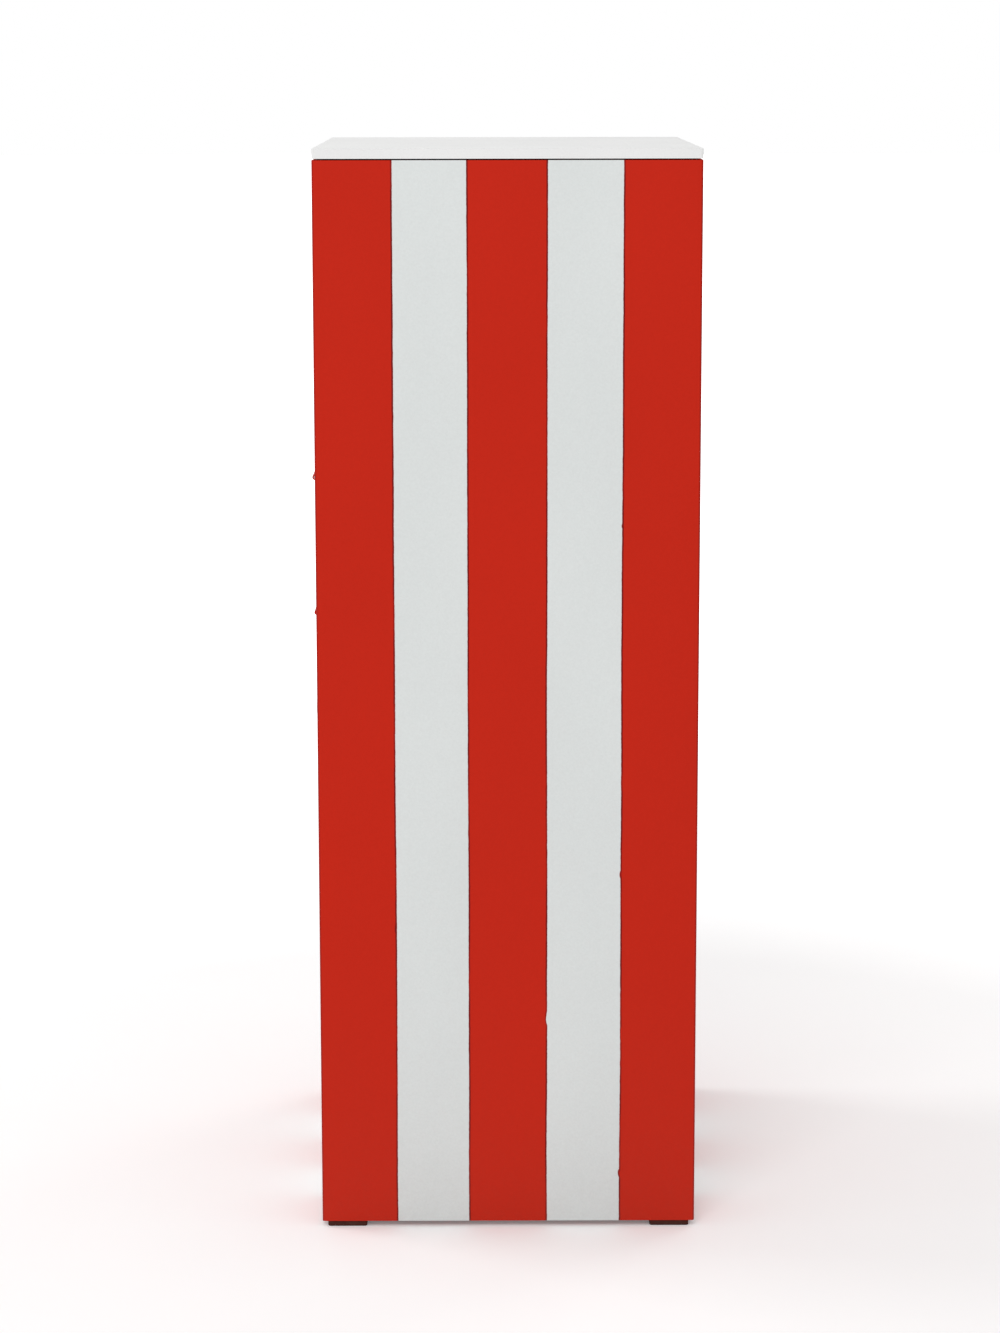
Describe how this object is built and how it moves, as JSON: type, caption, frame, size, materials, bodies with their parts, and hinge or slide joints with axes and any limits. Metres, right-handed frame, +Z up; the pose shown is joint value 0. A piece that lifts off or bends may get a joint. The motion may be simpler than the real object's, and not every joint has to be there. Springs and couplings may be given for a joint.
{
  "type": "street fire alarm box",
  "caption": "Free-standing sheet-steel street alarm cabinet in red and white stripes, with a hinged door, lift-flap call button and clockwork code transmitter inside.",
  "frame": {"origin": "on the ground at the middle of the cabinet's base, where the feet rest", "axes": "+Z up; the operating door faces -Y and the back +Y; +X to the right seen from the door"},
  "size_m": [0.5, 0.4113, 1.1475],
  "materials": {
    "cabinet_paint": "striped red and white gloss paint",
    "lid_paint": "white powder coat",
    "red_paint": "red gloss paint",
    "foot_paint": "dark red primer",
    "zinc": "zinc plated",
    "steel": "bright",
    "brass": "lacquered",
    "seal_rubber": "matt",
    "moulding": "black moulding",
    "panel_paint": "cream enamel",
    "ceramic": "glazed white",
    "enamel": "vitreous enamel",
    "coil": "cotton covered winding",
    "glass": "clear",
    "cable": "black sheath"
  },
  "bodies": {
    "cabinet": {"shell": "cabinet_paint", "front_frame": "cabinet_paint", "top_frame": "red_paint", "bottom_frame": "red_paint", "base_plate": "zinc", "feet": "foot_paint", "foot_bolts": "steel", "lid": "lid_paint", "lid_gasket": "seal_rubber", "cabinet_screws": "zinc", "cable_gland": "brass", "frame_hinge_leaves": "red_paint", "hinge_pins": "steel", "panel_brackets": "zinc", "mechanism_panel": "panel_paint", "movement_back_plate": "brass", "movement_front_plate": "brass", "movement_pillars": "brass", "lever_pin": "steel", "contact_block": "moulding", "contact_springs": "brass", "bell_frame": "zinc", "bell_coils": "coil", "bell_gong": "brass", "key_base": "moulding", "key_fittings": "brass", "terminal_strip": "moulding", "terminal_block": "ceramic", "surge_arresters": "ceramic", "wiring_loom": "cable", "loom_clips": "moulding", "winding_key": "steel"},
    "door": {"door_panel": "cabinet_paint", "door_stiffeners": "red_paint", "door_seal": "seal_rubber", "door_hinge_leaves": "red_paint", "door_screws": "zinc", "lock_body": "zinc", "lock_nut": "brass", "call_frame": "red_paint", "call_box": "zinc", "call_glass": "glass", "glass_gasket": "seal_rubber", "button_bush": "brass", "flap_pin": "steel", "instruction_plate": "enamel", "plate_rivets": "zinc", "button_spring": "steel"},
    "lock": {"lock_plug": "zinc", "lock_cam": "steel"},
    "flap": {"call_flap": "red_paint"},
    "button": {"push_button": "moulding"},
    "trip_lever": {"trip_lever": "steel"},
    "great_wheel": {"great_wheel": "brass"},
    "code_train": {"code_arbor": "brass", "code_wheel": "brass"},
    "fly": {"fly": "brass"},
    "contact_lever": {"contact_lever": "brass"},
    "bell_hammer": {"bell_hammer": "steel"},
    "key_lever": {"key_lever": "brass"}
  },
  "joints": [
    {"name": "door_hinge", "type": "hinge", "parent": "cabinet", "child": "door", "pos_m": [-0.22475, -0.2052, 0.578], "axis": [0, 0, -1], "range_deg": [0, 115]},
    {"name": "lock_turn", "type": "hinge", "parent": "door", "child": "lock", "pos_m": [0.195, -0.2, 0.56], "axis": [0, -1, 0], "range_deg": [0, 90]},
    {"name": "flap_lift", "type": "hinge", "parent": "door", "child": "flap", "pos_m": [0, -0.2083, 0.79], "axis": [-1, 0, 0], "range_deg": [0, 100]},
    {"name": "button_press", "type": "slide", "parent": "door", "child": "button", "axis": [0, 1, 0], "range_m": [0, 0.006], "stiffness_N_per_m": 500, "springref_m": -0.004, "deforming": ["button_spring"]},
    {"name": "trip_lever_swing", "type": "hinge", "parent": "cabinet", "child": "trip_lever", "pos_m": [0, -0.122, 0.685], "axis": [-1, 0, 0], "range_deg": [0, 11.6]},
    {"name": "great_wheel_turn", "type": "hinge", "parent": "cabinet", "child": "great_wheel", "pos_m": [-0.024, -0.09, 0.599], "axis": [0, -1, 0], "continuous": true},
    {"name": "code_arbor_turn", "type": "hinge", "parent": "cabinet", "child": "code_train", "pos_m": [0, -0.09, 0.631], "axis": [0, -1, 0], "continuous": true},
    {"name": "fly_turn", "type": "hinge", "parent": "cabinet", "child": "fly", "pos_m": [0.0198, -0.09, 0.6574], "axis": [0, -1, 0], "continuous": true},
    {"name": "contact_lever_swing", "type": "hinge", "parent": "cabinet", "child": "contact_lever", "pos_m": [0.044, -0.117, 0.605], "axis": [0, 1, 0], "range_deg": [0, 4], "stiffness_Nm_per_rad": 0.02, "springref_deg": -5.73},
    {"name": "hammer_swing", "type": "hinge", "parent": "cabinet", "child": "bell_hammer", "pos_m": [-0.063, -0.08, 0.805], "axis": [0, -1, 0], "range_deg": [-5, 4], "stiffness_Nm_per_rad": 0.05},
    {"name": "key_press", "type": "hinge", "parent": "cabinet", "child": "key_lever", "pos_m": [0.125, -0.082, 0.64], "axis": [1, 0, 0], "range_deg": [0, 3], "stiffness_Nm_per_rad": 2, "springref_deg": -2.86}
  ],
  "couplings": [
    {"joint": "trip_lever_swing", "follows": "button_press", "rad_per_m": 33.333},
    {"joint": "code_arbor_turn", "follows": "great_wheel_turn", "ratio": -3},
    {"joint": "fly_turn", "follows": "great_wheel_turn", "ratio": 13.5}
  ]
}
